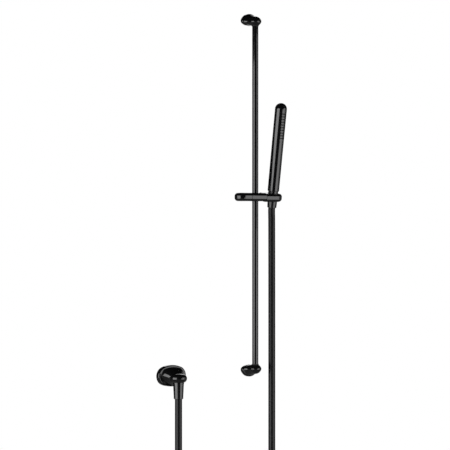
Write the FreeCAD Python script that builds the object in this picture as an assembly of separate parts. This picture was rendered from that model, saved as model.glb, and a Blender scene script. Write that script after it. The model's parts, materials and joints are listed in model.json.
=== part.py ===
import FreeCAD
import Part
import math
import os

from FreeCAD import Vector

# Wall-mounted shower slide rail: two drop-shaped brackets, a round rail, a pill-shaped slider
# with a clamping knob and a tilting holder, a stick handset, a hose and a wall outlet elbow.
# Millimetres. The wall is the plane y = 0, the object stands off it towards -y, and +z is up.
# The origin is on the wall, halfway between the two brackets' screw holes.

# Fits
fit_gap = 0.1
running_gap = 0.06
seam_gap = 0.2
seam_chamfer = 0.35

# Rail
bracket_spacing = 800.0
rail_stand_off = 26.0
rail_diameter = 14.0
rail_wall = 1.5
rail_plug_length = 6.0

# Brackets, measured from the screw hole of each
flange_half_width = 22.0
flange_top = 14.6
flange_bottom = 12.6
flange_wide_level = -1.5
flange_thickness = 8.0
flange_rim_radius = 3.0
flange_corner = 7.0
bracket_nose_corner = 6.0
bracket_root_inset = 1.2
bracket_nose_radius = 14.0
bracket_nose_height = 23.0
bracket_nose_drop = 3.9
rail_socket_depth = 16.0
bush_wall = 1.0
bush_inset = 0.4
wall_plate_radius = 7.4
wall_plate_thickness = 6.0
wall_plate_pocket_depth = 12.0
wall_screw_hole_radius = 2.5
grub_screw_radius = 2.0
grub_screw_depth = 3.5
grub_screw_inset = 0.3

# Slider, a flat pill in three parts
slider_height = -4.5
pill_thickness = 19.0
pill_depth = 34.0
pill_edge_radius = 7.6
slider_body_half_length = 21.0
knob_end = 54.9
holder_end = 72.7
sleeve_wall = 2.0
sleeve_lip = 1.2
sleeve_lip_thickness = 0.8
sleeve_slit = 1.2
pad_radius = 4.0
pad_length = 4.0
pad_travel = 0.8
spindle_length = 26.0
thrust_washer_radius = 8.0
thrust_washer_thickness = 0.6

# Holder and its pivot
holder_hole_offset = 50.6
holder_rest_tilt = 8.6
liner_wall = 1.3
pivot_radius = 3.0
pivot_thread_length = 8.5
pivot_head_radius = 5.0
pivot_head_thickness = 4.0
pivot_wall = 9.0
wave_washer_thickness = 0.8
friction_washer_radius = 7.0
friction_washer_thickness = 0.6

# Conical hose nut, shared by both ends of the hose
nut_length = 34.0
nut_top_radius = 12.0
nut_bottom_radius = 10.4
nut_edge_chamfer = 0.8
nut_thread_depth = 14.0
nut_thread_radius = 10.2
tail_flange_thickness = 2.0
tail_bore_radius = 4.0
washer_thickness = 2.0

# Handset
nut_below_pivot = 24.0
handset_bottom = 14.2
handset_length = 203.0
handset_top_radius = 13.7
handset_bottom_radius = 13.2
handset_wall = 4.4
handset_edge_chamfer = 0.9
handset_collar_radius = 11.3
handset_floor = 12.0
spray_plate_length = 85.0
spray_plate_width = 13.6
spray_plate_top_margin = 4.6
spray_plate_thickness = 1.6
spray_mat_thickness = 1.6
spray_ledge = 1.4
nozzle_rows = 10
nozzle_pitch = 6.2
nozzle_columns = 4
nozzle_column_pitch = 3.2
nozzle_block_drop = 5.0
nozzle_radius = 1.3
nozzle_tip_radius = 1.0
nozzle_sides = 8
nozzle_stand_out = 0.9
regulator_length = 6.0

# Wall outlet elbow, measured from the middle of its wall thread
elbow_offset = -220.0
elbow_height = -407.0
elbow_stand_off = 32.0
elbow_half_width = 37.7
elbow_top = 27.2
elbow_bottom = 20.5
elbow_wide_level = 3.0
elbow_flange_thickness = 10.0
elbow_rim_radius = 3.0
elbow_corner = 20.5
elbow_root_level = 9.0
elbow_root_corner = 14.0
elbow_nose_corner = 9.5
elbow_root_inset = 1.8
elbow_nose_radius = 19.0
elbow_nose_top = 9.5
elbow_nose_bottom = 12.3
elbow_seat_level = -13.0
elbow_boss_radius = 12.4
elbow_seat_margin = 0.6
elbow_socket_depth = 14.0
wall_thread_radius = 10.48
wall_thread_length = 16.0
wall_thread_bore = 7.0
wall_shank_radius = 10.0
waterway_radius = 4.5
outlet_thread_depth = 10.0
outlet_thread_radius = 8.8
outlet_bore_radius = 6.0
check_valve_length = 12.0
o_ring_section = 1.5
gasket_radius = 17.5
gasket_thickness = 1.5

# Hose
hose_diameter = 16.0
hose_first_run = 12.0
hose_turn_level = -833.0
hose_loop_right = (-28.0, -23.0, -912.0)
hose_loop_left = (-141.0, -29.0, -912.0)
hose_bend_share = 0.45

# Form of the drop-shaped bodies: how fast the half-width, top, bottom, widest level and corner
# give way from the root to the nose, as powers of what is left of the way
sweep_steps = 4
bracket_sweep = (2.2, 1.1, 1.4, 1.4, 1.4)
elbow_sweep = (2.2, 0.9, 1.4, 0.9, 1.0)

X_AXIS = Vector(1, 0, 0)
Y_AXIS = Vector(0, 1, 0)
Z_AXIS = Vector(0, 0, 1)

rail_radius = rail_diameter / 2
pill_radius = pill_depth / 2
pill_half = pill_thickness / 2
sleeve_radius = rail_radius + running_gap + sleeve_wall
hose_radius = hose_diameter / 2


def cylinder(radius, start, end, axis=Z_AXIS, centre=Vector(0, 0, 0)):
    """Round bar along an axis through a centre, from one distance to another."""
    return Part.makeCylinder(radius, end - start, centre + axis * start, axis)


def ring(outer, inner, start, end, axis=Z_AXIS, centre=Vector(0, 0, 0)):
    """Plain washer or sleeve."""
    return cylinder(outer, start, end, axis, centre).cut(cylinder(inner, start, end, axis, centre))


def cone(start_radius, end_radius, start, end, axis=Z_AXIS, centre=Vector(0, 0, 0)):
    return Part.makeCone(start_radius, end_radius, end - start, centre + axis * start, axis)


def edges_in_plane(shape, axis, level):
    """Edges that lie wholly in the plane at this level along an axis."""
    found = []
    for edge in shape.Edges:
        if edge.Degenerated:
            continue
        points = edge.discretize(5)
        if all(abs(point.dot(axis) - level) < 1e-4 for point in points):
            found.append(edge)
    return found


def moved(shape, offset):
    copy = shape.copy()
    copy.translate(offset)
    return copy


# Drop-shaped bodies


def half_outline(depth, half_width, top, bottom, middle, corner):
    """Points of a rounded D's right half: a top, a corner and a bottom arc, each as start, middle and end."""
    reach = half_width - corner
    rise = top - middle
    fall = middle - bottom
    top_radius = (reach ** 2 + rise ** 2 - corner ** 2) / (2 * (rise - corner))
    bottom_radius = (reach ** 2 + fall ** 2 - corner ** 2) / (2 * (fall - corner))
    upper = math.atan2(top_radius - rise, reach)
    lower = math.atan2(fall - bottom_radius, reach)
    arcs = [
        (0.0, top - top_radius, top_radius, math.pi / 2, upper),
        (reach, middle, corner, upper, lower),
        (0.0, bottom + bottom_radius, bottom_radius, lower, -math.pi / 2),
    ]
    triples = []
    for across, level, radius, first, last in arcs:
        angles = (first, (first + last) / 2, last)
        triples.append([Vector(across + radius * math.cos(angle), -depth, level + radius * math.sin(angle))
                        for angle in angles])
    triples[0][0].x = 0.0
    triples[2][2].x = 0.0
    return triples


def outline_halves(*outline):
    """Right half of a rounded D from its top to its bottom, and left half back up to the top."""
    triples = half_outline(*outline)
    right = [Part.Arc(*triple).toShape() for triple in triples]
    left = []
    for triple in reversed(triples):
        mirrored = [Vector(-point.x, point.y, point.z) for point in reversed(triple)]
        left.append(Part.Arc(*mirrored).toShape())
    return right, left


def flange_plate(outline, thickness, rim_radius):
    """Plate against the wall with a rounded front rim."""
    right, left = outline_halves(0.0, *outline)
    plate = Part.Face(Part.Wire(right + left)).extrude(Y_AXIS * -thickness)
    return plate.makeFillet(rim_radius, edges_in_plane(plate, Y_AXIS, -thickness))


def swept_nose(root, nose, powers, root_depth, nose_depth):
    """Body that narrows in a hollow curve from its root to a round nose about the vertical at nose_depth."""
    sections = []
    for step in range(sweep_steps + 1):
        share = step / sweep_steps
        sizes = [end + (start - end) * (1 - share) ** power for start, end, power in zip(root, nose, powers)]
        depth = root_depth + (nose_depth - root_depth) * share
        sections.append(outline_halves(depth, *sizes))
    sweep = Part.makeLoft([Part.Wire(right + left) for right, left in sections], True, False)
    right = sections[-1][0]
    spine = Part.LineSegment(right[-1].Vertexes[-1].Point, right[0].Vertexes[0].Point).toShape()
    profile = Part.Face(Part.Wire(right + [spine]))
    tip = profile.revolve(Vector(0, -nose_depth, 0), Z_AXIS, -180)
    return sweep.fuse(tip)


# Brackets


def bracket_pieces():
    """Pieces of the upper bracket, measured from its screw hole."""
    flange = (flange_half_width, flange_top, -flange_bottom, flange_wide_level, flange_corner)
    root = (flange_half_width - bracket_root_inset, flange_top - bracket_root_inset,
            -flange_bottom + bracket_root_inset, flange_wide_level, flange_corner)
    nose_top = bracket_nose_height / 2 - bracket_nose_drop
    nose_bottom = -bracket_nose_height / 2 - bracket_nose_drop
    nose = (bracket_nose_radius, nose_top, nose_bottom, -bracket_nose_drop, bracket_nose_corner)
    body = flange_plate(flange, flange_thickness, flange_rim_radius)
    body = body.fuse(swept_nose(root, nose, bracket_sweep, flange_thickness / 2, rail_stand_off))

    rail_axis = Vector(0, -rail_stand_off, 0)
    socket_radius = rail_radius + bush_wall + 2 * fit_gap
    socket_top = nose_bottom + rail_socket_depth
    body = body.cut(cylinder(socket_radius, nose_bottom - 1, socket_top, Z_AXIS, rail_axis))
    body = body.cut(cylinder(wall_plate_radius + fit_gap, -1, wall_plate_pocket_depth, Y_AXIS * -1))
    grub_centre = Vector(0, -wall_plate_thickness / 2, 0)
    grub_start = -flange_bottom
    grub_end = -wall_plate_radius - fit_gap
    body = body.cut(cylinder(grub_screw_radius + fit_gap, grub_start - 1, 0, Z_AXIS, grub_centre))
    plate = ring(wall_plate_radius, wall_screw_hole_radius, 0, wall_plate_thickness, Y_AXIS * -1)
    grub_tip = max(grub_start + grub_screw_inset, grub_end - grub_screw_depth)
    grub = cylinder(grub_screw_radius, grub_tip, grub_end, Z_AXIS, grub_centre)
    bush_bore = rail_radius + fit_gap
    bush = ring(bush_bore + bush_wall, bush_bore, nose_bottom + bush_inset, socket_top, Z_AXIS, rail_axis)
    plug_radius = rail_radius - rail_wall - fit_gap
    plug = cylinder(plug_radius, socket_top - rail_plug_length, socket_top, Z_AXIS, rail_axis)
    return {"bracket": body, "wall_plate": plate, "grub_screw": grub, "rail_bush": bush, "rail_plug": plug}


def rail_end_height():
    """Top of the rail, at the floor of the upper bracket's socket."""
    return bracket_spacing / 2 - bracket_nose_drop - bracket_nose_height / 2 + rail_socket_depth


def rail_pieces():
    pieces = {}
    for name, shape in bracket_pieces().items():
        upper = moved(shape, Vector(0, 0, bracket_spacing / 2))
        pieces["upper_" + name] = upper
        pieces["lower_" + name] = upper.mirror(Vector(0, 0, 0), Z_AXIS)
    rail_axis = Vector(0, -rail_stand_off, 0)
    end = rail_end_height()
    pieces["rail_tube"] = ring(rail_radius, rail_radius - rail_wall, -end, end, Z_AXIS, rail_axis)
    return pieces


# Slider


def pill_bar(start, end):
    """Length of the pill along x, flat all round with rounded long edges."""
    bar = Part.makeBox(end - start, pill_depth, pill_thickness, Vector(start, -pill_radius, -pill_half))
    along = [edge for edge in bar.Edges if abs(edge.tangentAt(edge.FirstParameter).dot(X_AXIS)) > 0.5]
    return bar.makeFillet(pill_edge_radius, along)


def pill_cap(centre):
    """Round end of the pill on its +x side."""
    inset = pill_edge_radius * (1 - math.sqrt(0.5))
    flat = pill_radius - pill_edge_radius
    straight = pill_half - pill_edge_radius
    axis_low, low = Vector(centre, 0, -pill_half), Vector(centre, flat, -pill_half)
    side_low, side_high = Vector(centre, pill_radius, -straight), Vector(centre, pill_radius, straight)
    high, axis_high = Vector(centre, flat, pill_half), Vector(centre, 0, pill_half)
    profile = Part.Wire([
        Part.LineSegment(axis_low, low).toShape(),
        Part.Arc(low, Vector(centre, pill_radius - inset, inset - pill_half), side_low).toShape(),
        Part.LineSegment(side_low, side_high).toShape(),
        Part.Arc(side_high, Vector(centre, pill_radius - inset, pill_half - inset), high).toShape(),
        Part.LineSegment(high, axis_high).toShape(),
        Part.LineSegment(axis_high, axis_low).toShape(),
    ])
    return Part.Face(profile).revolve(Vector(centre, 0, 0), Z_AXIS, -180)


def pill_end(start, end):
    """End third of the pill, from its seam to its round tip."""
    centre = end - pill_radius
    piece = pill_bar(start, centre).fuse(pill_cap(centre)).removeSplitter()
    return piece.makeChamfer(seam_chamfer, edges_in_plane(piece, X_AXIS, start))


def sleeve_piece():
    lip_radius = sleeve_radius + sleeve_lip
    sleeve = cylinder(sleeve_radius, -pill_half, pill_half)
    sleeve = sleeve.fuse(cylinder(lip_radius, -pill_half, sleeve_lip_thickness - pill_half))
    sleeve = sleeve.fuse(cylinder(lip_radius, pill_half - sleeve_lip_thickness, pill_half))
    sleeve = sleeve.cut(cylinder(rail_radius + running_gap, -pill_half, pill_half))
    slit = Part.makeBox(2 * lip_radius, sleeve_slit, pill_thickness,
                        Vector(0, -sleeve_slit / 2, -pill_half))
    return sleeve.cut(slit)


def slider_pieces():
    """Pieces that move with the slider, measured from the rail's axis at the pill's middle."""
    half = slider_body_half_length
    body = pill_bar(-half, half)
    seam_edges = edges_in_plane(body, X_AXIS, half) + edges_in_plane(body, X_AXIS, -half)
    body = body.makeChamfer(seam_chamfer, seam_edges)
    body = body.cut(cylinder(sleeve_radius + running_gap, -pill_half, pill_half))
    recess_radius = sleeve_radius + sleeve_lip + running_gap
    recess_depth = sleeve_lip_thickness + running_gap
    body = body.cut(cylinder(recess_radius, -pill_half, recess_depth - pill_half))
    body = body.cut(cylinder(recess_radius, pill_half - recess_depth, pill_half))

    left = X_AXIS * -1
    pad_start = sleeve_radius + fit_gap + pad_travel
    pad_end = pad_start + pad_length
    body = body.cut(cylinder(pad_radius + running_gap, 0, half, left))
    pad = cylinder(pad_radius, 0, pad_end, left)
    pad = pad.cut(cylinder(pad_start, -pill_half, pill_half))
    spindle_start = pad_end + fit_gap
    spindle = cylinder(pad_radius, spindle_start, spindle_start + spindle_length, left)

    knob = pill_end(half + seam_gap, knob_end)
    knob = knob.mirror(Vector(0, 0, 0), X_AXIS)
    knob = knob.cut(cylinder(pad_radius + fit_gap, half, spindle_start + spindle_length + fit_gap, left))
    washer_start = half + seam_gap - fit_gap - thrust_washer_thickness
    thrust_washer = ring(thrust_washer_radius, pad_radius + fit_gap, washer_start,
                         washer_start + thrust_washer_thickness, left)
    body = body.cut(cylinder(thrust_washer_radius + fit_gap, washer_start, half, left))

    washer_start = half + seam_gap - fit_gap - friction_washer_thickness
    washer_end = washer_start + friction_washer_thickness
    friction_washer = ring(friction_washer_radius, pivot_radius + fit_gap, washer_start, washer_end, X_AXIS)
    body = body.cut(cylinder(friction_washer_radius + fit_gap, washer_start, half, X_AXIS))
    thread_start = washer_start - pivot_thread_length
    body = body.cut(cylinder(pivot_radius + fit_gap, thread_start - fit_gap, half, X_AXIS))
    seat = half + seam_gap + pivot_wall
    head_start = seat + wave_washer_thickness + 2 * fit_gap
    screw = cylinder(pivot_radius, thread_start, head_start, X_AXIS)
    head_end = head_start + pivot_head_thickness
    screw = screw.fuse(cylinder(pivot_head_radius, head_start, head_end, X_AXIS))
    wave_washer = ring(pivot_head_radius, pivot_radius + fit_gap, seat + fit_gap,
                       seat + fit_gap + wave_washer_thickness, X_AXIS)
    return {
        "glide_sleeve": sleeve_piece(),
        "slider_body": body,
        "brake_pad": pad,
        "knob": knob,
        "knob_spindle": spindle,
        "knob_washer": thrust_washer,
        "friction_washer": friction_washer,
        "pivot_screw": screw,
        "wave_washer": wave_washer,
    }


# Hose nut with the tail and washer inside it, measured up from the nut's lower end


def nut_radius(height):
    return nut_bottom_radius + (nut_top_radius - nut_bottom_radius) * height / nut_length


def hose_end_pieces():
    nut = cone(nut_bottom_radius, nut_top_radius, 0, nut_length)
    nut = nut.makeChamfer(nut_edge_chamfer, edges_in_plane(nut, Z_AXIS, 0))
    shoulder = nut_length - nut_thread_depth - washer_thickness - tail_flange_thickness
    nut = nut.cut(cylinder(nut_thread_radius + fit_gap, shoulder, nut_length))
    nut = nut.cut(cylinder(hose_radius + fit_gap, 0, shoulder))
    tail_top = shoulder + tail_flange_thickness
    tail = cylinder(hose_radius, 0, shoulder + fit_gap)
    tail = tail.fuse(cylinder(nut_thread_radius, shoulder + fit_gap, tail_top))
    tail = tail.cut(cylinder(tail_bore_radius, 0, tail_top))
    washer = ring(nut_thread_radius, tail_bore_radius, tail_top + fit_gap, tail_top + washer_thickness)
    return {"hose_nut": nut, "hose_tail": tail, "hose_washer": washer}


# Holder and handset, measured from the pivot's axis at the holder's hole, with the handset upright


def holder_pieces():
    start = slider_body_half_length + seam_gap - holder_hole_offset
    end = holder_end - holder_hole_offset
    holder = pill_end(start, end)
    low = nut_radius(nut_below_pivot - pill_half)
    high = nut_radius(nut_below_pivot + pill_half)
    outer = fit_gap + liner_wall
    clear = outer + fit_gap
    holder = holder.cut(cone(low + clear, high + clear, -pill_half, pill_half))
    seat = start + pivot_wall
    holder = holder.cut(cylinder(pivot_radius + running_gap, start, seat, X_AXIS))
    holder = holder.cut(cylinder(pivot_head_radius + fit_gap, seat, 0, X_AXIS))
    liner = cone(low + outer, high + outer, -pill_half, pill_half)
    liner = liner.cut(cone(low + fit_gap, high + fit_gap, -pill_half, pill_half))
    return {"holder": holder, "holder_liner": liner}


def handset_form(inset):
    """Tapered round stick with a domed top, as much smaller all over as the inset."""
    top = handset_bottom + handset_length
    dome_level = top - handset_top_radius
    low = Vector(handset_bottom_radius - inset, 0, handset_bottom)
    high = Vector(handset_top_radius - inset, 0, dome_level)
    slant = (handset_top_radius - inset) * math.sqrt(0.5)
    tip = Vector(0, 0, top - inset)
    base = Vector(0, 0, handset_bottom)
    profile = Part.Wire([
        Part.LineSegment(base, low).toShape(),
        Part.LineSegment(low, high).toShape(),
        Part.Arc(high, Vector(slant, 0, dome_level + slant), tip).toShape(),
        Part.LineSegment(tip, base).toShape(),
    ])
    return Part.Face(profile).revolve(Vector(0, 0, 0), Z_AXIS, 360)


def plate_prism(inset):
    """Long window with round ends, through the front of the handset."""
    radius = spray_plate_width / 2 - inset
    top = handset_bottom + handset_length - spray_plate_top_margin - spray_plate_width / 2
    bottom = top - spray_plate_length + spray_plate_width
    top_left, top_right = Vector(-radius, 0, top), Vector(radius, 0, top)
    bottom_left, bottom_right = Vector(-radius, 0, bottom), Vector(radius, 0, bottom)
    outline = Part.Wire([
        Part.LineSegment(bottom_left, top_left).toShape(),
        Part.Arc(top_left, Vector(0, 0, top + radius), top_right).toShape(),
        Part.LineSegment(top_right, bottom_right).toShape(),
        Part.Arc(bottom_right, Vector(0, 0, bottom - radius), bottom_left).toShape(),
    ])
    return Part.Face(outline).extrude(Y_AXIS * -2 * handset_top_radius)


def nozzle_places():
    """Place across and height of each nozzle on the spray plate."""
    plate_middle = handset_bottom + handset_length - spray_plate_top_margin - spray_plate_length / 2
    middle = plate_middle - nozzle_block_drop
    places = []
    for row in range(nozzle_rows):
        height = middle + (row - (nozzle_rows - 1) / 2) * nozzle_pitch
        for column in range(nozzle_columns):
            across = (column - (nozzle_columns - 1) / 2) * nozzle_column_pitch
            places.append((across, height))
    return places


def handset_radius(height):
    """Outer radius of the handset below its dome."""
    share = (height - handset_bottom) / (handset_length - handset_top_radius)
    return handset_bottom_radius + (handset_top_radius - handset_bottom_radius) * share


def nozzle_form(root_radius, tip_radius, start, end, centre):
    """Tapered many-sided nozzle that points to the front, from one distance to another."""
    wires = []
    for radius, distance in ((root_radius, start), (tip_radius, end)):
        corners = []
        for side in range(nozzle_sides + 1):
            angle = 2 * math.pi * (side + 0.5) / nozzle_sides
            corners.append(centre + Vector(radius * math.cos(angle), -distance, radius * math.sin(angle)))
        corners[-1] = corners[0]
        wires.append(Part.makePolygon(corners))
    return Part.makeLoft(wires, True, True)


def handset_pieces():
    outer = handset_form(0)
    plate_back = handset_form(spray_plate_thickness)
    mat_face = handset_form(spray_plate_thickness + fit_gap)
    mat_back = handset_form(spray_plate_thickness + spray_mat_thickness)
    ledge_face = handset_form(spray_plate_thickness + spray_mat_thickness + fit_gap)
    front = Y_AXIS * -1

    hollow = handset_form(handset_wall)
    floor = handset_bottom + handset_floor
    hollow = hollow.cut(cylinder(handset_bottom_radius, handset_bottom, floor))
    shell = outer.makeChamfer(handset_edge_chamfer, edges_in_plane(outer, Z_AXIS, handset_bottom))
    shell = shell.cut(hollow)
    shell = shell.cut(plate_prism(-fit_gap).cut(ledge_face))
    shell = shell.cut(plate_prism(spray_ledge))
    shell = shell.cut(cylinder(outlet_thread_radius + fit_gap, handset_bottom, floor))

    plate = outer.cut(plate_back).common(plate_prism(0))
    mat = mat_face.cut(mat_back).common(plate_prism(0))
    holes = []
    tips = []
    for across, height in nozzle_places():
        centre = Vector(across, 0, height)
        surface = math.sqrt(handset_radius(height) ** 2 - across ** 2)
        root = surface - spray_plate_thickness - spray_mat_thickness / 2
        end = surface + nozzle_stand_out
        hole_radius = nozzle_radius + fit_gap
        holes.append(nozzle_form(hole_radius, hole_radius, 0, 2 * surface, centre))
        tips.append(nozzle_form(nozzle_radius, nozzle_tip_radius, root, end, centre))
    plate = plate.cut(Part.makeCompound(holes))
    mat = mat.fuse(tips)

    nut_top = nut_length - nut_below_pivot
    thread_end = nut_top - nut_thread_depth + fit_gap
    connector = cylinder(handset_collar_radius, nut_top + fit_gap, handset_bottom - fit_gap)
    connector = connector.fuse(cylinder(nut_thread_radius, thread_end, nut_top + fit_gap))
    connector = connector.fuse(cylinder(outlet_thread_radius, handset_bottom - fit_gap, floor))
    connector = connector.cut(cylinder(outlet_bore_radius, thread_end, floor))
    regulator = ring(outlet_bore_radius - fit_gap, outlet_bore_radius / 3, floor - regulator_length, floor)
    return {
        "handset_shell": shell,
        "spray_plate": plate,
        "spray_nozzles": mat,
        "handset_connector": connector,
        "flow_regulator": regulator,
    }


# Wall outlet elbow


def elbow_pieces():
    """Pieces of the elbow, measured from the middle of its wall thread."""
    flange = (elbow_half_width, elbow_top, -elbow_bottom, elbow_wide_level, elbow_corner)
    root = (elbow_half_width - elbow_root_inset, elbow_top - elbow_root_inset,
            -elbow_bottom + elbow_root_inset, elbow_root_level, elbow_root_corner)
    nose_middle = (elbow_nose_top - elbow_nose_bottom) / 2
    nose = (elbow_nose_radius, elbow_nose_top, -elbow_nose_bottom, nose_middle, elbow_nose_corner)
    outlet = Vector(0, -elbow_stand_off, 0)
    wall_side = Y_AXIS * -1
    body = flange_plate(flange, elbow_flange_thickness, elbow_rim_radius)
    body = body.fuse(swept_nose(root, nose, elbow_sweep, elbow_flange_thickness / 2, elbow_stand_off))
    body = body.fuse(cylinder(elbow_boss_radius, elbow_seat_level, nose_middle, Z_AXIS, outlet))
    body = body.cut(cylinder(wall_shank_radius + fit_gap, -1, elbow_socket_depth, wall_side))
    body = body.cut(cylinder(waterway_radius, 0, elbow_stand_off + waterway_radius, wall_side))
    thread_top = elbow_seat_level + outlet_thread_depth
    spot_face = nut_top_radius + elbow_seat_margin
    body = body.cut(cylinder(spot_face, elbow_seat_level - elbow_bottom, elbow_seat_level, Z_AXIS, outlet))
    body = body.cut(cylinder(outlet_thread_radius + fit_gap, elbow_seat_level, thread_top, Z_AXIS, outlet))
    body = body.cut(cylinder(waterway_radius, elbow_seat_level, 0, Z_AXIS, outlet))
    body = body.cut(cylinder(gasket_radius + fit_gap, 0, gasket_thickness, wall_side))

    ring_start = elbow_socket_depth - 4 * o_ring_section
    ring_end = ring_start + 2 * o_ring_section
    groove = wall_shank_radius - o_ring_section
    nipple = cylinder(wall_thread_radius, -wall_thread_length, 0, wall_side)
    nipple = nipple.fuse(cylinder(wall_shank_radius, 0, elbow_socket_depth - fit_gap, wall_side))
    nipple = nipple.cut(cylinder(wall_thread_bore, -wall_thread_length, elbow_socket_depth, wall_side))
    nipple = nipple.cut(ring(wall_shank_radius + 1, groove, ring_start, ring_end, wall_side))
    o_ring = ring(wall_shank_radius, groove + fit_gap, ring_start + fit_gap, ring_end - fit_gap, wall_side)
    gasket = ring(gasket_radius, wall_shank_radius + fit_gap, 0, gasket_thickness, wall_side)

    grub_centre = Vector(0, -elbow_flange_thickness / 2, 0)
    grub_end = -wall_shank_radius - fit_gap
    grub = cylinder(grub_screw_radius, grub_end - grub_screw_depth, grub_end, Z_AXIS, grub_centre)
    body = body.cut(cylinder(grub_screw_radius + fit_gap, -elbow_bottom - 1, 0, Z_AXIS, grub_centre))

    thread_end = elbow_seat_level - nut_thread_depth + fit_gap
    outlet_nipple = cylinder(nut_thread_radius, thread_end, elbow_seat_level - fit_gap, Z_AXIS, outlet)
    outlet_nipple = outlet_nipple.fuse(
        cylinder(outlet_thread_radius, elbow_seat_level - fit_gap, thread_top, Z_AXIS, outlet))
    outlet_nipple = outlet_nipple.cut(cylinder(outlet_bore_radius, thread_end, thread_top, Z_AXIS, outlet))
    valve = ring(outlet_bore_radius - fit_gap, outlet_bore_radius / 2, thread_end,
                 thread_end + check_valve_length, Z_AXIS, outlet)
    return {
        "elbow_body": body,
        "wall_nipple": nipple,
        "elbow_o_ring": o_ring,
        "elbow_gasket": gasket,
        "elbow_grub_screw": grub,
        "outlet_nipple": outlet_nipple,
        "check_valve": valve,
    }


# Hose, a plain tube of straight runs and tangent arcs


def hose_route(upper_end, upper_direction, lower_end):
    """Points of the hose, from the handset's nut down, round its hanging loop and up to the elbow's nut."""
    plumb = upper_end + upper_direction * hose_first_run
    return [
        upper_end,
        plumb,
        Vector(plumb.x, plumb.y, hose_turn_level),
        Vector(*hose_loop_right),
        Vector(*hose_loop_left),
        Vector(lower_end.x, lower_end.y, hose_turn_level),
        lower_end,
    ]


def hose_piece(points):
    edges = []
    last = points[0]
    for before, corner, after in zip(points, points[1:], points[2:]):
        arrive = corner - before
        leave = after - corner
        shorter = min(arrive.Length, leave.Length)
        turn = arrive.getAngle(leave)
        reach = hose_bend_share * shorter
        print("hose turn", round(math.degrees(turn), 1), "radius", round(reach / math.tan(turn / 2), 1))
        arrive.normalize()
        leave.normalize()
        start = corner - arrive * reach
        end = corner + leave * reach
        radius = reach / math.tan(turn / 2)
        inward = leave - arrive
        inward.normalize()
        centre = corner + inward * (radius / math.cos(turn / 2))
        middle = centre - inward * radius
        edges.append(Part.LineSegment(last, start).toShape())
        edges.append(Part.Arc(start, middle, end).toShape())
        last = end
    edges.append(Part.LineSegment(last, points[-1]).toShape())
    path = Part.Wire(edges)
    section = Part.Wire(Part.makeCircle(hose_radius, points[0], points[1] - points[0]))
    tube = path.makePipeShell([section], True, False)
    expected = path.Length * math.pi * hose_radius ** 2
    print("hose length", round(path.Length, 1), "volume share", round(tube.Volume / expected, 5))
    return tube


def assembly():
    pieces = rail_pieces()
    slider_centre = Vector(0, -rail_stand_off, slider_height)
    for name, shape in slider_pieces().items():
        pieces[name] = moved(shape, slider_centre)

    tilted = holder_pieces()
    tilted.update(handset_pieces())
    for name, shape in hose_end_pieces().items():
        tilted["upper_" + name] = moved(shape, Vector(0, 0, -nut_below_pivot))
    pivot = slider_centre + X_AXIS * holder_hole_offset
    rest = FreeCAD.Placement(pivot, FreeCAD.Rotation(X_AXIS, holder_rest_tilt))
    for name, shape in tilted.items():
        shape.Placement = rest.multiply(shape.Placement)
        pieces[name] = shape

    elbow_centre = Vector(elbow_offset, 0, elbow_height)
    for name, shape in elbow_pieces().items():
        pieces[name] = moved(shape, elbow_centre)
    seat = elbow_centre + Vector(0, -elbow_stand_off, elbow_seat_level)
    lower_end = seat - Z_AXIS * (nut_length + fit_gap)
    for name, shape in hose_end_pieces().items():
        pieces["lower_" + name] = moved(shape, lower_end)

    upper_end = rest.multVec(Vector(0, 0, -nut_below_pivot))
    upper_direction = rest.Rotation.multVec(Z_AXIS * -1)
    pieces["hose"] = hose_piece(hose_route(upper_end, upper_direction, lower_end))
    return pieces


os.makedirs("parts", exist_ok=True)
for node, solid in assembly().items():
    solid.exportStep("parts/" + node + ".step")
    print(node, len(solid.Solids), solid.isValid(), round(solid.Volume, 1))
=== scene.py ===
# %% [markdown]
# A wall-mounted shower set in gloss black: a slim rail on two drop-shaped brackets, a sliding handset
# holder, a stick handset, a hanging hose and a wall outlet elbow. The imported model is the fixed frame:
# every piece here is placed from it, in metres, with +Z up and the wall in the plane y = 0. The box of the
# bare model is kept, and the floor is set below it.

# %% Load the frame
import json
import math

import bmesh
import bpy
from mathutils import Matrix, Vector


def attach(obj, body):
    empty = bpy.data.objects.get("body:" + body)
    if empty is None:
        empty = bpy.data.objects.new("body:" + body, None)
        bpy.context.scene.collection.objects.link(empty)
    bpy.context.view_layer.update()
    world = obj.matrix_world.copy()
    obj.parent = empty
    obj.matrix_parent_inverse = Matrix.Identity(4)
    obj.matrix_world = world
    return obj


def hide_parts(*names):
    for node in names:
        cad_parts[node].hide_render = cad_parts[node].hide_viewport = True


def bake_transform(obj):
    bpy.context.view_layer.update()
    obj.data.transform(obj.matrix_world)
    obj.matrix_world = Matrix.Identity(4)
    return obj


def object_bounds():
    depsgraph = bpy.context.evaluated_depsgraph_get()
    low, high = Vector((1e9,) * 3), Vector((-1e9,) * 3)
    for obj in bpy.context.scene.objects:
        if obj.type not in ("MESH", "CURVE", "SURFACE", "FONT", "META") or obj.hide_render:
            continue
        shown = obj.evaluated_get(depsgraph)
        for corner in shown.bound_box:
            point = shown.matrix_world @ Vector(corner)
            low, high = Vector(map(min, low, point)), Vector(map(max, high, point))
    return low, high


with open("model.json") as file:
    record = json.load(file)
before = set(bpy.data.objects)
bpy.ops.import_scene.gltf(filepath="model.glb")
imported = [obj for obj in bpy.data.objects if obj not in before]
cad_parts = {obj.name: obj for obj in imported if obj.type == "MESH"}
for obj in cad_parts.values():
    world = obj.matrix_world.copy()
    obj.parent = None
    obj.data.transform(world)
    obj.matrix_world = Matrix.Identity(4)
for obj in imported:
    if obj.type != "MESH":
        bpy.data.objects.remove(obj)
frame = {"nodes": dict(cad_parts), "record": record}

cad_low, cad_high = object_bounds()
nodes = frame["nodes"]
print("nodes", len(nodes), "box", [round(b - a, 4) for a, b in zip(cad_low, cad_high)])

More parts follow.
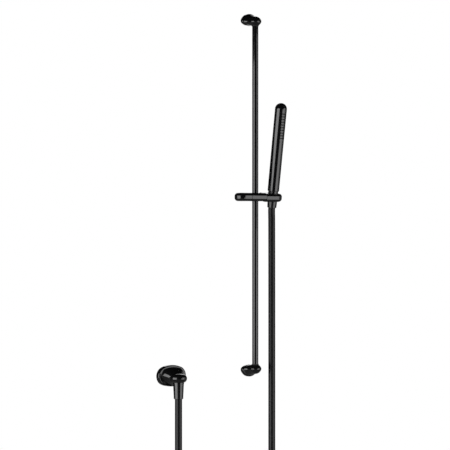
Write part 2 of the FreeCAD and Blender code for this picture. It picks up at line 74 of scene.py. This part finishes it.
# %% [markdown]
# The camera stands five metres off, level with the middle of the picture and to the left of the rail, so
# that the flanges show their left sides. A long lens at that distance keeps the rail's sides parallel, as
# catalogue pictures do. A closer camera with a short lens would make the near hose look thicker than the
# far one.

# %% Camera
CAMERA_AZIMUTH = math.radians(-37.0)
CAMERA_DISTANCE = 5.0
SENSOR_WIDTH = 36.0
PICTURE_WIDTH = 1.026
PICTURE_CENTRE = Vector((-0.0551, 0.0155, -0.0681))


def new_object(name, data):
    made = bpy.data.objects.new(name, data)
    bpy.context.scene.collection.objects.link(made)
    return made


camera_data = bpy.data.cameras.new("photo_camera")
camera_data.sensor_width = SENSOR_WIDTH
camera_data.lens = SENSOR_WIDTH * CAMERA_DISTANCE / PICTURE_WIDTH
camera = new_object("photo_camera", camera_data)
towards_camera = Vector((math.sin(CAMERA_AZIMUTH), -math.cos(CAMERA_AZIMUTH), 0.0))
camera.location = PICTURE_CENTRE + towards_camera * CAMERA_DISTANCE
camera.rotation_euler = (-towards_camera).to_track_quat("-Z", "Y").to_euler()
bpy.context.scene.camera = camera
print("lens", round(camera_data.lens, 1), "mm")

# %% [markdown]
# The hose is one smooth black tube, 1.5 m long, that hangs from the handset, turns in a wide loop below
# the picture and comes up into the elbow. Its line is a NURBS spline with a few control points, so it
# bends evenly and never looks like bent wire. The points follow the model's plain tube, with the right leg
# about a millimetre aside, where the photo has it. On the long plumb legs one more point stands near each
# corner, which keeps the legs straight.

# %% Line of the hose
HOSE_POINTS = [
    (0.0506, -0.02241, -0.02823),
    (0.0506, -0.02151, -0.0342),
    (0.0514, -0.0217, -0.060),
    (0.0514, -0.0217, -0.721),
    (0.0514, -0.0217, -0.833),
    (-0.028, -0.023, -0.912),
    (-0.141, -0.029, -0.912),
    (-0.220, -0.032, -0.833),
    (-0.220, -0.032, -0.721),
    (-0.220, -0.032, -0.4541),
]
SAMPLES_PER_SPAN = 64


def spline_line(name, points):
    """Points read from a smooth spline with these control points."""
    curve = bpy.data.curves.new(name, "CURVE")
    curve.dimensions = "3D"
    spline = curve.splines.new("NURBS")
    spline.points.add(len(points) - 1)
    for control, point in zip(spline.points, points):
        control.co = (*point, 1.0)
    spline.order_u = 3
    spline.use_endpoint_u = True
    curve.resolution_u = SAMPLES_PER_SPAN
    carrier = bpy.data.objects.new(name, curve)
    mesh = bpy.data.meshes.new_from_object(carrier)
    line = [vertex.co.copy() for vertex in mesh.vertices]
    bpy.data.objects.remove(carrier)
    bpy.data.curves.remove(curve)
    bpy.data.meshes.remove(mesh)
    return line


def line_length(line):
    return sum((b - a).length for a, b in zip(line, line[1:]))


hose_line = spline_line("hose_line", HOSE_POINTS)
print("hose line", len(hose_line), "points", round(line_length(hose_line), 3), "m")

# %% [markdown]
# Most forms here are rings of points joined in order: round a line for a hose, round an axis for a turned
# piece. One helper joins them all. A curve with a round bevel would give the tube too, but not the threads
# and hexagons that come later, and boolean cuts would leave long thin faces that shade badly. Surfaces are
# shaded smooth, and an edge stays sharp where its two faces meet at a clear angle.

# %% Joining rings
SHARP_ANGLE = math.radians(35.0)
own_pieces = []


def loft(shape, rings, closed=False):
    """Join rings of points in order. A closed loft runs back to its first ring, others get end caps."""
    rows = [[shape.verts.new(point) for point in ring] for ring in rings]
    pairs = list(zip(rows, rows[1:]))
    if closed:
        pairs.append((rows[-1], rows[0]))
    else:
        shape.faces.new(list(reversed(rows[0])))
        shape.faces.new(rows[-1])
    for low, high in pairs:
        for step in range(len(low)):
            after = (step + 1) % len(low)
            shape.faces.new((low[step], low[after], high[after], high[step]))


def smooth_piece(name, shape):
    """Piece with this shape, smooth but for its sharp edges."""
    mesh = bpy.data.meshes.new(name)
    shape.to_mesh(mesh)
    shape.free()
    for face in mesh.polygons:
        face.use_smooth = True
    mesh.set_sharp_from_angle(angle=SHARP_ANGLE)
    print(name, len(mesh.polygons), "faces")
    return new_object(name, mesh)


def stand_for(piece, node, slot):
    """Let the piece take a node's place, and note which finish it wears."""
    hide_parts(node)
    own_pieces.append((piece, slot))


print("sharp over", round(math.degrees(SHARP_ANGLE)), "degrees")

# %% [markdown]
# A hose that is held at both ends has to give when the slider moves. A single mesh can bend across one
# joint only, so the tube is cut at three heights where it hangs plumb, into a top length, a neck, a leg and
# the loop. The first three are listed with two bodies each, holder and slider, slider and carriage,
# carriage and wall, but they are left unattached here; the loop is attached to the wall. At rest the cut
# ends meet exactly.

# %% Hose tube
HOSE_RADIUS = 0.008
HOSE_SIDES = 32
# Piece, height of its lower cut in metres, the two bodies listed for it (not attached here)
HOSE_CUTS = [
    ("hose_top", -0.150, ("holder", "slider")),
    ("hose_neck", -0.255, ("slider", "carriage")),
    ("hose_leg", -0.825, ("carriage", "root")),
    ("hose_loop", None, None),
]


def tube_rings(line, radius, sides):
    """Round rings along a line, carried on from one to the next without twist."""
    turns = [2 * math.pi * step / sides for step in range(sides)]
    side = Vector((1.0, 0.0, 0.0))
    rings = []
    for index, point in enumerate(line):
        before = line[max(index - 1, 0)]
        after = line[min(index + 1, len(line) - 1)]
        along = (after - before).normalized()
        side = (side - along * side.dot(along)).normalized()
        other = along.cross(side)
        rings.append([point + (side * math.cos(turn) + other * math.sin(turn)) * radius for turn in turns])
    return rings


rest_of_line = hose_line
for name, cut_height, bodies in HOSE_CUTS:
    line = rest_of_line
    if cut_height is not None:
        count = next(i for i, point in enumerate(rest_of_line) if point.z < cut_height) + 1
        line = rest_of_line[:count]
        rest_of_line = rest_of_line[count - 1:]
    hose_shape = bmesh.new()
    loft(hose_shape, tube_rings(line, HOSE_RADIUS, HOSE_SIDES))
    piece = smooth_piece(name, hose_shape)
    if bodies:
        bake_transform(piece)
    else:
        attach(piece, "root")
    stand_for(piece, "hose", "black_hose")
    print(name, round(line_length(line), 3), "m")

# %% [markdown]
# The spray nozzles are soft silicone. On the real handset one moulded mat lies behind the spray plate, and
# its nipples come out through the plate's holes so that a thumb can rub the lime off. The mat comes first:
# it follows the curve of the shell, so a ring round it at each height, along its front and back again
# behind, gives its form. A flat plate that is bent afterwards would need its thickness mended. Sizes are
# in millimetres, measured up the handset from the holder's pivot, and one matrix leans them as the handset
# leans.

# %% Nozzle mat
MM = 0.001
PIVOT = Vector((50.6, -26.0, -4.5)) * MM
LEAN = math.radians(8.6)
HANDSET_BOTTOM = 14.2
HANDSET_LENGTH = 203.0
HANDSET_BOTTOM_RADIUS = 13.2
HANDSET_TOP_RADIUS = 13.7
PLATE_HALF_LENGTH = 42.5
PLATE_HALF_WIDTH = 6.8
PLATE_TOP_MARGIN = 4.6
MAT_FRONT = 1.7
MAT_BACK = 3.2
MAT_END_GAP = 0.2
MAT_STEPS = 36
MAT_STRIPS = 8

handset_place = Matrix.Translation(PIVOT) @ Matrix.Rotation(LEAN, 4, "X")
plate_middle = HANDSET_BOTTOM + HANDSET_LENGTH - PLATE_TOP_MARGIN - PLATE_HALF_LENGTH


def handset_radius(height):
    """Radius of the shell, which widens a little from its lower end to the foot of its dome."""
    share = (height - HANDSET_BOTTOM) / (HANDSET_LENGTH - HANDSET_TOP_RADIUS)
    return HANDSET_BOTTOM_RADIUS + (HANDSET_TOP_RADIUS - HANDSET_BOTTOM_RADIUS) * share


def mat_ring(offset):
    """Points round the mat at this distance above the plate's middle. Its ends are round."""
    past = max(0.0, abs(offset) - (PLATE_HALF_LENGTH - PLATE_HALF_WIDTH))
    half_width = math.sqrt(PLATE_HALF_WIDTH ** 2 - past ** 2)
    height = plate_middle + offset
    shares = [2 * strip / MAT_STRIPS - 1 for strip in range(MAT_STRIPS + 1)]
    ring = []
    for inset, order in ((MAT_FRONT, shares), (MAT_BACK, shares[::-1])):
        radius = handset_radius(height) - inset
        for share in order:
            across = half_width * share
            point = Vector((across, -math.sqrt(radius ** 2 - across ** 2), height))
            ring.append(handset_place @ (point * MM))
    return ring


nozzle_shape = bmesh.new()
mat_half_length = PLATE_HALF_LENGTH - MAT_END_GAP
mat_turns = [math.pi * (step / MAT_STEPS - 0.5) for step in range(MAT_STEPS + 1)]
loft(nozzle_shape, [mat_ring(mat_half_length * math.sin(turn)) for turn in mat_turns])
print("mat", 2 * mat_half_length, "mm long", len(nozzle_shape.faces), "faces")

# %% [markdown]
# Each nipple of the mat is a small turned form: it tapers to its tip, has a fine chamfer there and a round
# outlet. They follow the model's rows and are about as thick as its eight-sided pegs. The helper for
# turned forms takes a radius for each ring, or a rule that gives the radius by angle, which makes threads
# and hexagons with the same few lines.

# %% Nozzles
NOZZLE_ROWS = 10
NOZZLE_PITCH = 6.2
NOZZLE_COLUMNS = 4
NOZZLE_COLUMN_PITCH = 3.2
NOZZLE_DROP = 5.0
NOZZLE_ROOT = 1.29
NOZZLE_TIP = 1.20
NOZZLE_FOOT = 2.4
NOZZLE_STAND_OUT = 0.9
NOZZLE_SIDES = 16
TIP_CHAMFER_LENGTH = 0.15
TIP_CHAMFER_WIDTH = 0.12
OUTLET = 0.36
OUTLET_DEPTH = 0.7

to_front = Matrix.Rotation(math.radians(90.0), 4, "X")


def turned_rings(place, profile, sides):
    """Rings round a place's z axis, from pairs of radius (or radius by angle) and height, in mm."""
    rings = []
    for radius, height in profile:
        ring = []
        for step in range(sides):
            angle = 2 * math.pi * step / sides
            reach = radius(angle) if callable(radius) else radius
            point = Vector((reach * math.cos(angle), reach * math.sin(angle), height))
            ring.append(place @ (point * MM))
        rings.append(ring)
    return rings


def centred(count, pitch):
    """Evenly spaced places with their middle at zero."""
    return [(index - (count - 1) / 2) * pitch for index in range(count)]


for rise in centred(NOZZLE_ROWS, NOZZLE_PITCH):
    height = plate_middle - NOZZLE_DROP + rise
    for across in centred(NOZZLE_COLUMNS, NOZZLE_COLUMN_PITCH):
        surface = math.sqrt(handset_radius(height) ** 2 - across ** 2)
        tip = surface + NOZZLE_STAND_OUT
        profile = [
            (NOZZLE_ROOT, surface - NOZZLE_FOOT),
            (NOZZLE_TIP, tip - TIP_CHAMFER_LENGTH),
            (NOZZLE_TIP - TIP_CHAMFER_WIDTH, tip),
            (OUTLET, tip),
            (OUTLET, tip - OUTLET_DEPTH),
        ]
        place = handset_place @ Matrix.Translation(Vector((across, 0.0, height)) * MM) @ to_front
        loft(nozzle_shape, turned_rings(place, profile, NOZZLE_SIDES))
nozzle_mat = smooth_piece("nozzle_mat", nozzle_shape)
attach(nozzle_mat, "holder")
stand_for(nozzle_mat, "spray_nozzles", "black_silicone")

# %% [markdown]
# The wall nipple is a brass turning with a G1/2 pipe thread: 1.814 mm pitch and 1.16 mm deep. The thread
# is one ring of points after another whose radius follows the turn, so it really climbs round the barrel.
# It fades out at both ends, as a die leaves it. The shank with its groove for the o-ring goes into the
# elbow. A bump in the material would be less work, but the thread shows in outline from the side.

# %% Wall nipple
NIPPLE_CENTRE = Vector((-220.0, 0.0, -407.0)) * MM
NIPPLE_BORE = 7.0
NIPPLE_SIDES = 48
SHANK_RADIUS = 10.0
SHANK_END = -13.9
GROOVE_RADIUS = 8.5
GROOVE_START = -11.0
GROOVE_END = -8.0
THREAD_LENGTH = 16.0
THREAD_PITCH = 1.814
THREAD_CREST = 10.48
THREAD_DEPTH = 1.16
THREAD_RUN_OUT = 1.6
RINGS_PER_TURN = 8


def thread_radius(along):
    """Rule for the thread's radius by angle, at this distance from the wall."""
    fade = min(1.0, along / THREAD_RUN_OUT, (THREAD_LENGTH - along) / THREAD_RUN_OUT)
    root = THREAD_CREST - THREAD_DEPTH

    def at(angle):
        wave = 0.5 + 0.5 * math.cos(2 * math.pi * along / THREAD_PITCH - angle)
        return root + THREAD_DEPTH * wave * fade
    return at


profile = [
    (NIPPLE_BORE, SHANK_END),
    (SHANK_RADIUS, SHANK_END),
    (SHANK_RADIUS, GROOVE_START),
    (GROOVE_RADIUS, GROOVE_START),
    (GROOVE_RADIUS, GROOVE_END),
    (SHANK_RADIUS, GROOVE_END),
    (SHANK_RADIUS, 0.0),
]
thread_rings = round(RINGS_PER_TURN * THREAD_LENGTH / THREAD_PITCH)
for index in range(thread_rings + 1):
    along = THREAD_LENGTH * index / thread_rings
    profile.append((thread_radius(along), along))
profile.append((NIPPLE_BORE, THREAD_LENGTH))

into_wall = Matrix.Translation(NIPPLE_CENTRE) @ Matrix.Rotation(math.radians(-90.0), 4, "X")
nipple_shape = bmesh.new()
loft(nipple_shape, turned_rings(into_wall, profile, NIPPLE_SIDES), closed=True)
nipple = smooth_piece("threaded_nipple", nipple_shape)
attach(nipple, "root")
stand_for(nipple, "wall_nipple", "plain_brass")

# %% [markdown]
# The grub screws that lock the brackets and the elbow are driven by a small hexagon key. The two at the
# brackets face each other along the rail, and the one at the elbow faces down. The hexagon is a ring whose
# radius follows the angle, with as many points as the round rings beside it, so no cut is needed.

# %% Grub screws
GRUB_RADIUS = 2.0
GRUB_LENGTH = 3.5
GRUB_EDGE = 0.3
GRUB_POINT = 0.6
GRUB_SIDES = 24
SOCKET_HALF = 1.0
SOCKET_DEPTH = 1.8
# Node, middle of its socket end in millimetres, turn about x
GRUB_SCREWS = [
    ("upper_grub_screw", (0.0, -3.0, 389.0), 0.0),
    ("lower_grub_screw", (0.0, -3.0, -389.0), math.pi),
    ("elbow_grub_screw", (-220.0, -5.0, -420.6), 0.0),
]


def hexagon(angle):
    """Radius of the hexagon socket by angle."""
    return SOCKET_HALF / math.cos(angle % (math.pi / 3) - math.pi / 6)


GRUB_PROFILE = [
    (hexagon, SOCKET_DEPTH),
    (hexagon, 0.0),
    (GRUB_RADIUS - GRUB_EDGE, 0.0),
    (GRUB_RADIUS, GRUB_EDGE),
    (GRUB_RADIUS, GRUB_LENGTH - GRUB_POINT),
    (GRUB_RADIUS - GRUB_POINT, GRUB_LENGTH),
]
for node, socket_end, turn in GRUB_SCREWS:
    place = Matrix.Translation(Vector(socket_end) * MM) @ Matrix.Rotation(turn, 4, "X")
    grub_shape = bmesh.new()
    loft(grub_shape, turned_rings(place, GRUB_PROFILE, GRUB_SIDES))
    screw = smooth_piece("socket_" + node, grub_shape)
    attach(screw, "root")
    stand_for(screw, node, "bright_steel")

# %% [markdown]
# Almost everything here is gloss black. On the real set that is a coloured coat on brass and on moulded
# plastic: nearly black underneath, with a clear glossy skin that mirrors the room. So the base is very
# dark, a clear coat gives the mirror, and a faint ripple from a noise texture keeps the highlights from
# looking drawn with a ruler. A single black colour would lose the shape altogether, because only
# reflections show it.

# %% Uneven skin
NOISE_DETAIL = 3.0
ROUGHNESS_SPREAD = 0.15
RIPPLE_DEPTH = 0.00001


def set_inputs(tree, node, **inputs):
    """Give inputs of a shader node their values, or links where a value is another node's output."""
    for name, value in inputs.items():
        socket = node.inputs[name.replace("_", " ")]
        if isinstance(value, bpy.types.NodeSocket):
            tree.links.new(value, socket)
        else:
            socket.default_value = value


def add_node(tree, kind, **inputs):
    node = tree.nodes.new(kind)
    set_inputs(tree, node, **inputs)
    return node


def new_material(name, **inputs):
    """Material with these inputs on its shader, which is given back with it."""
    material = bpy.data.materials.new(name)
    material.use_nodes = True
    shader = material.node_tree.nodes["Principled BSDF"]
    set_inputs(material.node_tree, shader, **inputs)
    return material, shader


def finish(name, colour, roughness, ripple_size, ripple_strength, **inputs):
    """Material with an uneven skin: noise moves its roughness a little and ripples its surface."""
    material, shader = new_material(name, Base_Color=(*colour, 1.0), **inputs)
    tree = material.node_tree
    place = add_node(tree, "ShaderNodeTexCoord")
    noise = add_node(tree, "ShaderNodeTexNoise", Vector=place.outputs["Object"], Scale=1.0 / ripple_size,
                     Detail=NOISE_DETAIL)
    spread = add_node(tree, "ShaderNodeMapRange", Value=noise.outputs["Fac"],
                      To_Min=roughness * (1 - ROUGHNESS_SPREAD), To_Max=roughness * (1 + ROUGHNESS_SPREAD))
    bump = add_node(tree, "ShaderNodeBump", Height=noise.outputs["Fac"], Strength=ripple_strength,
                    Distance=RIPPLE_DEPTH)
    set_inputs(tree, shader, Roughness=spread.outputs["Result"], Normal=bump.outputs["Normal"])
    print(name, "roughness", roughness)
    return material


# %% [markdown]
# Each finish is that skin with its own colour, roughness, ripple size in metres and ripple strength.
# Coated brass and moulded plastic have a clear coat. The hose's plastic mirrors less, and silicone and
# rubber hardly at all. Steel and brass are bare metal. The list follows the model's material slots, so
# every piece finds its finish.

# %% Finishes
GLOSS_BLACK = (0.006, 0.006, 0.0065)
HOSE_BLACK = (0.009, 0.009, 0.0095)
SILICONE_BLACK = (0.007, 0.007, 0.0075)
PLASTIC_BLACK = (0.018, 0.018, 0.019)
PLASTIC_WHITE = (0.72, 0.72, 0.70)
RUBBER_BLACK = (0.020, 0.020, 0.021)
STEEL = (0.62, 0.61, 0.59)
BRASS = (0.72, 0.53, 0.24)

finishes = {
    "gloss_black_metal": finish("coated_brass", GLOSS_BLACK, 0.12, 0.006, 0.05, Coat_Weight=0.8),
    "gloss_black_shell": finish("moulded_gloss_black", GLOSS_BLACK, 0.12, 0.008, 0.05, Coat_Weight=1.0),
    "black_spray_plate": finish("gloss_spray_plate", GLOSS_BLACK, 0.14, 0.008, 0.05, Coat_Weight=1.0),
    "black_hose": finish("smooth_hose_skin", HOSE_BLACK, 0.20, 0.004, 0.05, Specular_IOR_Level=0.33),
    "black_silicone": finish("nozzle_silicone", SILICONE_BLACK, 0.65, 0.0008, 0.2, Specular_IOR_Level=0.15),
    "black_acetal": finish("black_plastic", PLASTIC_BLACK, 0.35, 0.001, 0.2),
    "white_acetal": finish("white_plastic", PLASTIC_WHITE, 0.35, 0.001, 0.2),
    "black_rubber": finish("seal_rubber", RUBBER_BLACK, 0.65, 0.0008, 0.4),
    "bright_steel": finish("bright_steel", STEEL, 0.24, 0.0006, 0.3, Metallic=1.0),
    "plain_brass": finish("turned_brass", BRASS, 0.26, 0.0006, 0.3, Metallic=1.0),
}

slot_of = {row["node"]: row["material_slot"] for row in frame["record"]["subparts"]}
for name, node in nodes.items():
    node.data.materials.clear()
    node.data.materials.append(finishes[slot_of[name]])
for piece, slot in own_pieces:
    piece.data.materials.append(finishes[slot])
print("finishes", len(finishes), "own pieces", len(own_pieces))

# %% [markdown]
# The set is photographed on white. The white ground is only for the eye, for mirrors and for clear things:
# what lights the object is separate, so the white never spills on to it. A bright sheet behind the object
# would do the same in a studio, but its light would wash the black out.

# %% White ground
WHITE = (1.0, 1.0, 1.0, 1.0)
AMBIENT = 0.25


def seen_as_white(tree):
    """Output that is 1 for the camera, mirrors and clear things, and 0 for light on the object."""
    path = add_node(tree, "ShaderNodeLightPath")
    seen = path.outputs["Is Camera Ray"]
    for kind in ("Is Glossy Ray", "Is Transmission Ray"):
        either = add_node(tree, "ShaderNodeMath")
        either.operation = "MAXIMUM"
        tree.links.new(seen, either.inputs[0])
        tree.links.new(path.outputs[kind], either.inputs[1])
        seen = either.outputs[0]
    return seen


def mix_shaders(tree, share, first, second, output):
    """Blend two shaders by a share and send the blend to the output."""
    mix = add_node(tree, "ShaderNodeMixShader", Fac=share)
    tree.links.new(first.outputs[0], mix.inputs[1])
    tree.links.new(second.outputs[0], mix.inputs[2])
    tree.links.new(mix.outputs[0], output.inputs["Surface"])


world = bpy.data.worlds.new("white_ground")
bpy.context.scene.world = world
world.use_nodes = True
tree = world.node_tree
tree.nodes.clear()
ambient = add_node(tree, "ShaderNodeBackground", Strength=AMBIENT)
white = add_node(tree, "ShaderNodeBackground", Color=WHITE)
sky = add_node(tree, "ShaderNodeOutputWorld")
mix_shaders(tree, seen_as_white(tree), ambient, white, sky)
bpy.context.scene.view_settings.view_transform = "Standard"
print("ambient light", AMBIENT)

# %% [markdown]
# A pale floor lies below the loop and keeps the soft shadow of the hose. It fades into the white ground
# all round, so no edge shows from any side: a round gradient turns the floor's own colour into white as it
# goes outwards. A floor that bends up into a backdrop is the usual way, but it would stand in the way of
# the views from behind.

# %% Pale floor
FLOOR_LEVEL = cad_low.z - 0.12
FLOOR_HALF = 3.0
FLOOR_FADE_RADIUS = 2.0
FLOOR_WHITE_NEAR = 0.65
FLOOR_ROUGHNESS = 0.8
PALE = (0.86, 0.86, 0.86, 1.0)

floor_shape = bmesh.new()
bmesh.ops.create_grid(floor_shape, x_segments=1, y_segments=1, size=FLOOR_HALF)
floor_mesh = bpy.data.meshes.new("floor")
floor_shape.to_mesh(floor_mesh)
floor_shape.free()
floor = new_object("floor", floor_mesh)
floor.location.z = FLOOR_LEVEL

floor_finish, pale = new_material("pale_floor", Base_Color=PALE, Roughness=FLOOR_ROUGHNESS)
tree = floor_finish.node_tree
glow = add_node(tree, "ShaderNodeEmission", Color=WHITE)
place = add_node(tree, "ShaderNodeTexCoord")
shrink = add_node(tree, "ShaderNodeMapping", Vector=place.outputs["Object"],
                  Scale=(1.0 / FLOOR_FADE_RADIUS,) * 3)
fade = add_node(tree, "ShaderNodeTexGradient", Vector=shrink.outputs["Vector"])
fade.gradient_type = "SPHERICAL"
whiteness = add_node(tree, "ShaderNodeMapRange", Value=fade.outputs["Fac"], To_Min=1.0,
                     To_Max=FLOOR_WHITE_NEAR)
share = add_node(tree, "ShaderNodeMath")
share.operation = "MULTIPLY"
tree.links.new(whiteness.outputs["Result"], share.inputs[0])
tree.links.new(seen_as_white(tree), share.inputs[1])
mix_shaders(tree, share.outputs[0], pale, glow, tree.nodes["Material Output"])
floor.data.materials.append(floor_finish)
print("floor at", round(FLOOR_LEVEL, 3))

# %% [markdown]
# Black gloss is lit by what it mirrors. Two soft boxes stand left and right of the camera and draw the two
# pale streaks on the rail, the handset and the hose, and the gap between them is the dark core. The left
# box ends low, so the rail goes dark near its top. A low box widens the right one inwards, so the core is
# narrower below the slider and on the leaning handset, and a weaker panel carries the right streak round
# the side. A round bar mirrors twice the angle that its surface turns by, so each box is given by the
# angles it fills, in degrees.

# %% Soft boxes
MIDDLE = Vector((-0.06, -0.02, -0.10))
BOX_DISTANCE = 2.0
BOX_FOOT = FLOOR_LEVEL + 0.05
LEFT_BOX_TOP = 0.465
RIGHT_BOX_TOP = 0.54
LOW_BOX_TOP = -0.08


def at_angle(azimuth, distance, level):
    """Place round the object: azimuth 0 is the camera's side, and positive is to the camera's right."""
    turn = CAMERA_AZIMUTH + math.radians(azimuth)
    return Vector((MIDDLE.x + math.sin(turn) * distance, MIDDLE.y - math.cos(turn) * distance, level))


def soft_box(name, first, last, top, radiance):
    """Upright light panel that fills these azimuths, from just above the floor to its top."""
    middle = (first + last) / 2
    data = bpy.data.lights.new(name, "AREA")
    data.shape = "RECTANGLE"
    data.size = 2 * BOX_DISTANCE * math.tan(math.radians((last - first) / 2))
    data.size_y = top - BOX_FOOT
    data.energy = radiance * math.pi * data.size * data.size_y
    light = new_object(name, data)
    light.location = at_angle(middle, BOX_DISTANCE, (BOX_FOOT + top) / 2)
    inward = at_angle(middle, 0.0, 0.0) - at_angle(middle, 1.0, 0.0)
    light.rotation_euler = inward.to_track_quat("-Z", "Y").to_euler()
    light.visible_camera = False
    print(name, round(data.size, 2), "x", round(data.size_y, 2), "m")


soft_box("left_box", first=-78.0, last=-24.5, top=LEFT_BOX_TOP, radiance=2.5)
soft_box("right_box", first=56.0, last=82.0, top=RIGHT_BOX_TOP, radiance=1.7)
soft_box("right_low_box", first=37.0, last=56.0, top=LOW_BOX_TOP, radiance=1.7)
soft_box("right_panel", first=82.0, last=112.0, top=RIGHT_BOX_TOP, radiance=0.4)

# %% [markdown]
# Dark cards keep the white ground out of the reflections, as a studio does for black products: round the
# sides and above. A narrow gap stays open at the back. The card underneath is grey and glows a little, so
# that undersides don't go dead black. The cards are unseen by the camera, cast no shadow and take no light
# away. A black room would give the same reflections, but then the ground couldn't be white.

# %% Cards
CARD_DISTANCE = 6.0
CARD_HEIGHT = 8.0
CARD_OPEN_BACK = 170
CARD_STEP = 34
CARD_BLACK = (0.005, 0.005, 0.005, 1.0)
UNDER_CARD_LEVEL = FLOOR_LEVEL + 0.02
UNDER_CARD_GLOW = 0.10


def card_finish(name, glow):
    """Flat black finish with a glow of its own."""
    material, _ = new_material(name, Base_Color=CARD_BLACK, Roughness=1.0, Specular_IOR_Level=0.0,
                               Emission_Color=WHITE, Emission_Strength=glow)
    return material


def card(name, places, material):
    """Flat card with these corners, which only mirrors see."""
    mesh = bpy.data.meshes.new(name)
    mesh.from_pydata(places, [], [tuple(range(len(places)))])
    mesh.materials.append(material)
    made = new_object(name, mesh)
    made.visible_camera = False
    made.visible_shadow = False
    made.visible_diffuse = False
    made.visible_transmission = False


def level_corners(reach, level):
    return [Vector((x * reach, y * reach, level)) for x, y in ((-1, -1), (1, -1), (1, 1), (-1, 1))]


black_card = card_finish("black_card", 0.0)
grey_card = card_finish("grey_card", UNDER_CARD_GLOW)
edges = list(range(-CARD_OPEN_BACK, CARD_OPEN_BACK + 1, CARD_STEP))
for index, (first, last) in enumerate(zip(edges, edges[1:])):
    corners = [(first, -CARD_HEIGHT), (last, -CARD_HEIGHT), (last, CARD_HEIGHT), (first, CARD_HEIGHT)]
    places = [at_angle(azimuth, CARD_DISTANCE, level) for azimuth, level in corners]
    card(f"side_card_{index}", places, black_card)
card("top_card", level_corners(2 * CARD_DISTANCE, CARD_HEIGHT), black_card)
card("under_card", level_corners(FLOOR_HALF, UNDER_CARD_LEVEL), grey_card)
print("cards", len(edges) + 1)
